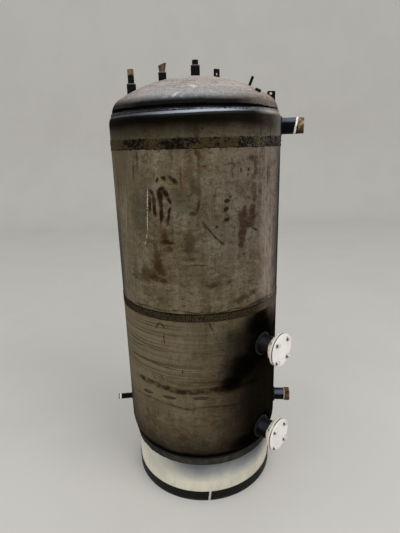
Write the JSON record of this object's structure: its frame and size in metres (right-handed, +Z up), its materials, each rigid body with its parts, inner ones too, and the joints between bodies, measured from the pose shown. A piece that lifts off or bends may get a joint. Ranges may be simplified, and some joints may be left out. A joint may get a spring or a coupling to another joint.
{
  "type": "hot water calorifier",
  "caption": "Upright hot water calorifier in bare steel with dished ends, a round foot skirt, blanked flange nozzles, side nipples and fittings on its dome.",
  "frame": {"origin": "on the vessel's vertical axis at floor level, at the centre of the flat ring under the foot skirt", "axes": "+Z up along the vessel's axis, -Y towards the pictured side, +X to the right seen from that side, where the open nipples point"},
  "size_m": [0.9107, 0.7534, 1.9964],
  "materials": {
    "shell_steel": "bare rolled plate, stained",
    "dome_steel": "bare pressed plate",
    "weld_metal": "rough weld",
    "skirt_paint": "painted, matt",
    "trim_rubber": "matt",
    "band_residue": "rough residue",
    "band_tape": "matt",
    "foam_strip": "matt, torn",
    "black_pipe": "black mill finish",
    "coated_flange": "painted, semi-matt",
    "gasket_fibre": "matt",
    "bolt_zinc": "dull zinc",
    "rusty_thread": "rusty",
    "socket_steel": "bare, dull"
  },
  "bodies": {
    "root": {"upper_shell": "shell_steel", "lower_shell": "shell_steel", "bottom_dished_end": "shell_steel", "top_dished_end": "dome_steel", "top_weld_bead": "weld_metal", "foot_skirt": "skirt_paint", "skirt_edge_trim": "trim_rubber", "top_band_residue": "band_residue", "middle_band": "band_tape", "lower_foam_strip": "foam_strip", "upper_nozzle_neck": "black_pipe", "lower_nozzle_neck": "black_pipe", "upper_nozzle_root_weld": "weld_metal", "lower_nozzle_root_weld": "weld_metal", "upper_nozzle_flange": "coated_flange", "lower_nozzle_flange": "coated_flange", "upper_nozzle_gasket": "gasket_fibre", "lower_nozzle_gasket": "gasket_fibre", "upper_blind_cover": "coated_flange", "lower_blind_cover": "coated_flange", "upper_cover_bolts": "bolt_zinc", "lower_cover_bolts": "bolt_zinc", "right_lower_nipple": "black_pipe", "right_nipple_collar": "rusty_thread", "right_nipple_root_weld": "weld_metal", "upper_right_nipple": "black_pipe", "upper_nipple_root_weld": "weld_metal", "left_stub": "black_pipe", "left_stub_root_weld": "weld_metal", "left_dome_socket": "socket_steel", "left_dome_nipple": "socket_steel", "middle_dome_socket": "socket_steel", "middle_socket_bung": "rusty_thread", "centre_dome_socket": "socket_steel", "centre_socket_plug": "socket_steel", "near_lifting_lug": "socket_steel", "far_lifting_lug": "socket_steel", "capped_vent_stub": "socket_steel", "small_dome_boss": "socket_steel"}
  },
  "joints": []
}
